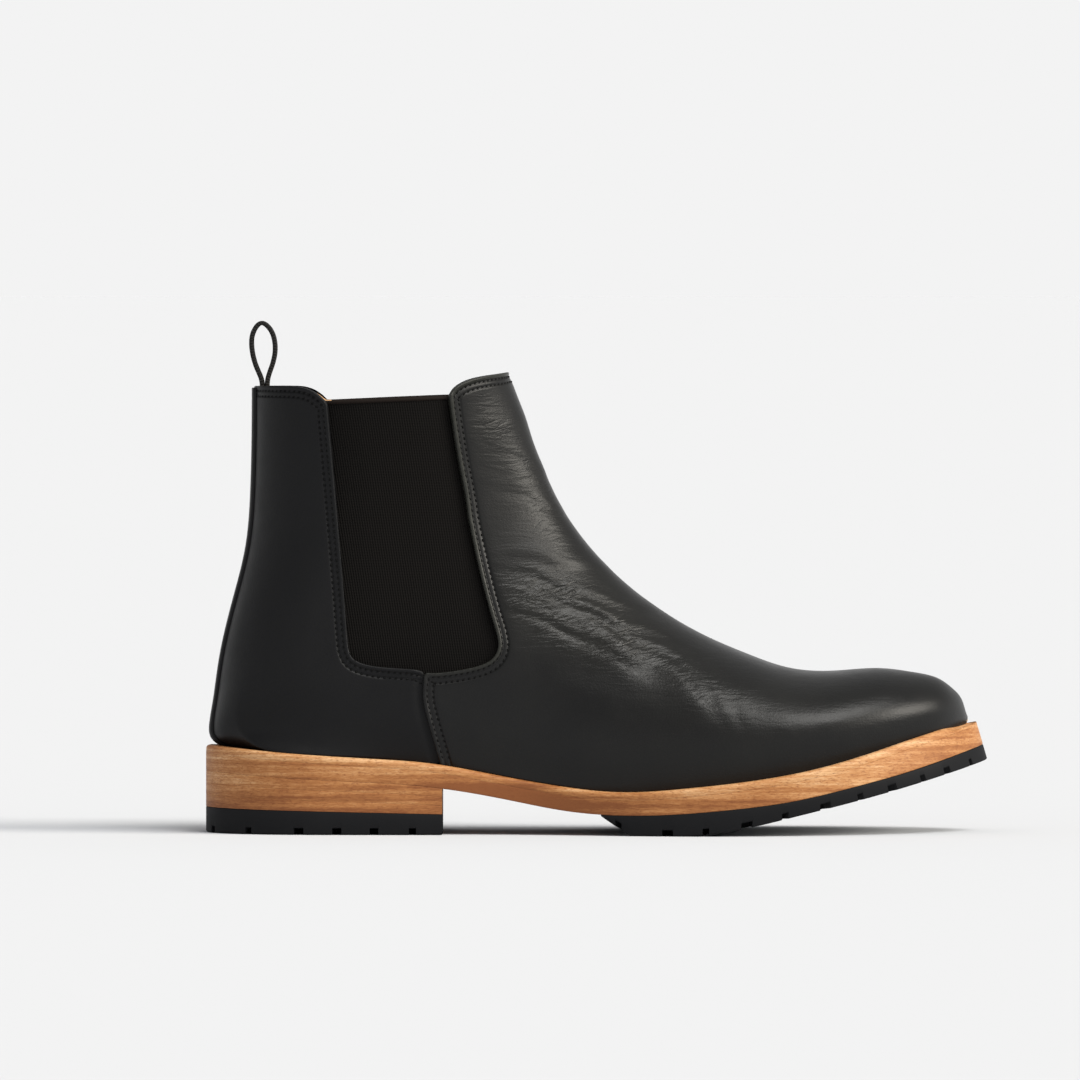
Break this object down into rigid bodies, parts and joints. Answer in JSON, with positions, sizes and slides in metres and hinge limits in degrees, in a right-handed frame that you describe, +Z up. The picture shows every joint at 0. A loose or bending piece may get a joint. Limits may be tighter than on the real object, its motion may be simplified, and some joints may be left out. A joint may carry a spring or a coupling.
{
  "type": "chelsea boot",
  "caption": "Ankle-high slip-on boot with elastic side panels, rear pull loop, welted leather sole with stacked heel and lugged rubber treads.",
  "frame": {"origin": "centre of the boot's bounding box on the ground", "axes": "+X from heel to toe, +Y towards the inner (medial) side of the boot, taken as a right boot, +Z up"},
  "size_m": [0.306, 0.1062, 0.2],
  "materials": {
    "black_leather": "smooth satin",
    "tan_lining": "matte",
    "elastic": "ribbed matte",
    "webbing": "woven matte",
    "sole_leather": "burnished edge",
    "rubber": "matte",
    "cork": "granular",
    "insole_board": "matte",
    "stiffener": "matte",
    "steel": "brushed"
  },
  "bodies": {
    "boot": {"vamp_instep": "black_leather", "vamp_flex_zone": "black_leather", "quarter_lateral": "black_leather", "quarter_medial": "black_leather", "back_strip": "black_leather", "gore_lateral": "elastic", "gore_medial": "elastic", "heel_counter": "stiffener", "pull_loop_anchor": "webbing", "lining_instep": "tan_lining", "lining_flex_zone": "tan_lining", "quarter_lining_lateral": "tan_lining", "quarter_lining_medial": "tan_lining", "sock_liner_rear": "tan_lining", "insole_board_rear": "insole_board", "cork_filler_rear": "cork", "shank": "steel", "welt_rear": "sole_leather", "midsole_rear": "sole_leather", "outsole_rear": "rubber", "heel_lift_1": "sole_leather", "heel_lift_2": "sole_leather", "heel_lift_3": "sole_leather", "heel_top_piece": "rubber", "heel_nails": "steel"},
    "forefoot": {"vamp_toe": "black_leather", "lining_toe": "tan_lining", "toe_puff": "stiffener", "sock_liner_front": "tan_lining", "insole_board_front": "insole_board", "cork_filler_front": "cork", "welt_front": "sole_leather", "midsole_front": "sole_leather", "outsole_front": "rubber"},
    "shaft_front": {"front_shaft": "black_leather", "lining_front_shaft": "tan_lining"},
    "pull_loop": {"pull_loop": "webbing"}
  },
  "joints": [
    {"name": "toe_flex", "type": "hinge", "parent": "boot", "child": "forefoot", "pos_m": [0.044, 0, 0.0274], "axis": [0, -1, 0], "range_deg": [0, 30], "stiffness_Nm_per_rad": 12, "deforming": ["vamp_flex_zone", "lining_flex_zone"]},
    {"name": "collar_open", "type": "hinge", "parent": "boot", "child": "shaft_front", "pos_m": [-0.0032, 0, 0.112], "axis": [0, 1, 0], "range_deg": [0, 12], "stiffness_Nm_per_rad": 8, "deforming": ["gore_lateral", "gore_medial"]},
    {"name": "pull_loop_fold", "type": "hinge", "parent": "boot", "child": "pull_loop", "pos_m": [-0.12995, 0, 0.177], "axis": [0, 1, 0], "range_deg": [-75, 90], "stiffness_Nm_per_rad": 0.01}
  ]
}
